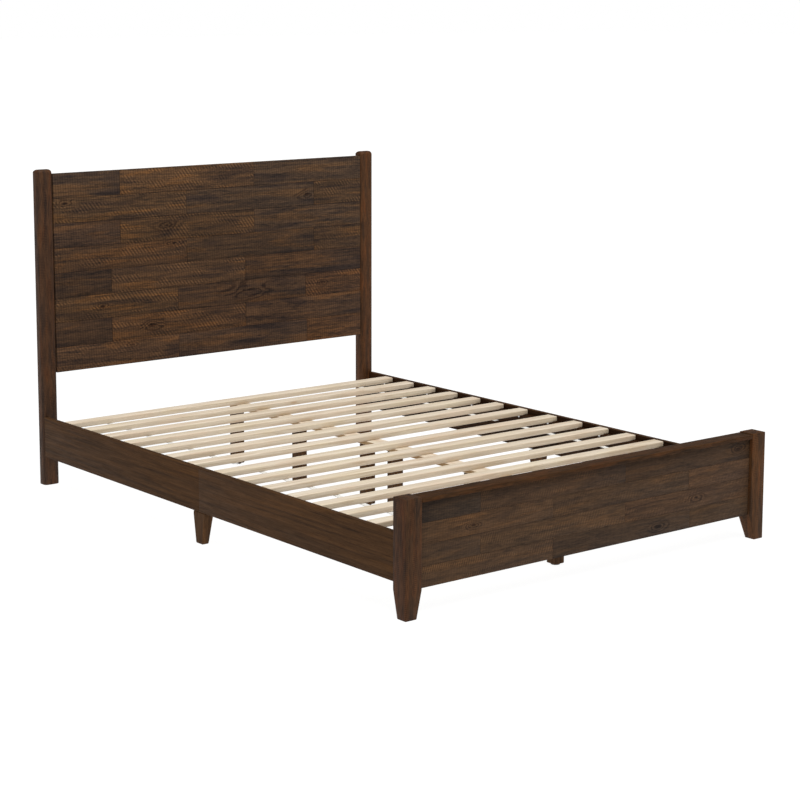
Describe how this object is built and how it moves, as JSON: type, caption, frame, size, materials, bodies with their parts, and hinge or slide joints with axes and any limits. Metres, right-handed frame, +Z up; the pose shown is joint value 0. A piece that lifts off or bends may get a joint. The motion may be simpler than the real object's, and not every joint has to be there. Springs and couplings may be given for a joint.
{
  "type": "wooden bed frame",
  "caption": "Wooden bed frame with a planked headboard and footboard, side rails jointed mid-way on short legs, pine slats on straps and a centre rail on its own adjustable legs.",
  "frame": {"origin": "on the floor, under the middle of the whole frame", "axes": "+Z up, +Y from the footboard to the headboard, +X across the bed to the right of someone standing at its foot and facing the headboard"},
  "size_m": [1.426, 2.022, 1.087],
  "materials": {
    "post_wood": "reddish walnut stain, satin lacquer",
    "plank_wood": "staggered planks in mixed walnut stains, rough-sawn marks under a matt lacquer",
    "rail_wood": "dark walnut stain over long straight grain, satin lacquer",
    "leg_wood": "dark walnut stain, matt",
    "pine": "bare planed pine",
    "webbing": "woven white tape",
    "steel": "zinc-plated sheet",
    "nylon": "moulded black nylon"
  },
  "bodies": {
    "frame": {"centre_leg_1": "leg_wood", "centre_leg_2": "leg_wood", "centre_leg_3": "leg_wood", "centre_leg_4": "leg_wood", "centre_leg_5": "leg_wood", "centre_leg_6": "leg_wood", "centre_rail_foot": "pine", "centre_rail_head": "pine", "corner_bracket_left_foot": "steel", "corner_bracket_left_head": "steel", "corner_bracket_right_foot": "steel", "corner_bracket_right_head": "steel", "footboard_panel": "plank_wood", "footboard_post_left": "post_wood", "footboard_post_right": "post_wood", "footboard_top_rail": "post_wood", "headboard_batten_left": "leg_wood", "headboard_batten_right": "leg_wood", "headboard_panel": "plank_wood", "headboard_post_left": "post_wood", "headboard_post_right": "post_wood", "mid_leg_left": "leg_wood", "mid_leg_right": "leg_wood", "rail_joining_plate_left": "steel", "rail_joining_plate_right": "steel", "side_rail_left_foot": "rail_wood", "side_rail_left_head": "rail_wood", "side_rail_right_foot": "rail_wood", "side_rail_right_head": "rail_wood", "slat_01": "pine", "slat_02": "pine", "slat_03": "pine", "slat_04": "pine", "slat_05": "pine", "slat_06": "pine", "slat_07": "pine", "slat_08": "pine", "slat_09": "pine", "slat_10": "pine", "slat_11": "pine", "slat_12": "pine", "slat_13": "pine", "slat_14": "pine", "slat_ledger_left_foot": "rail_wood", "slat_ledger_left_head": "rail_wood", "slat_ledger_right_foot": "rail_wood", "slat_ledger_right_head": "rail_wood", "slat_strap_left_foot": "webbing", "slat_strap_left_head": "webbing", "slat_strap_right_foot": "webbing", "slat_strap_right_head": "webbing"},
    "glide_1": {"leg_glide_1": "nylon"},
    "glide_2": {"leg_glide_2": "nylon"},
    "glide_3": {"leg_glide_3": "nylon"},
    "glide_4": {"leg_glide_4": "nylon"},
    "glide_5": {"leg_glide_5": "nylon"},
    "glide_6": {"leg_glide_6": "nylon"}
  },
  "joints": [
    {"name": "glide_1_screw", "type": "slide", "parent": "frame", "child": "glide_1", "axis": [0, 0, -1], "range_m": [0, 0.01]},
    {"name": "glide_2_screw", "type": "slide", "parent": "frame", "child": "glide_2", "axis": [0, 0, -1], "range_m": [0, 0.01]},
    {"name": "glide_3_screw", "type": "slide", "parent": "frame", "child": "glide_3", "axis": [0, 0, -1], "range_m": [0, 0.01]},
    {"name": "glide_4_screw", "type": "slide", "parent": "frame", "child": "glide_4", "axis": [0, 0, -1], "range_m": [0, 0.01]},
    {"name": "glide_5_screw", "type": "slide", "parent": "frame", "child": "glide_5", "axis": [0, 0, -1], "range_m": [0, 0.01]},
    {"name": "glide_6_screw", "type": "slide", "parent": "frame", "child": "glide_6", "axis": [0, 0, -1], "range_m": [0, 0.01]}
  ]
}
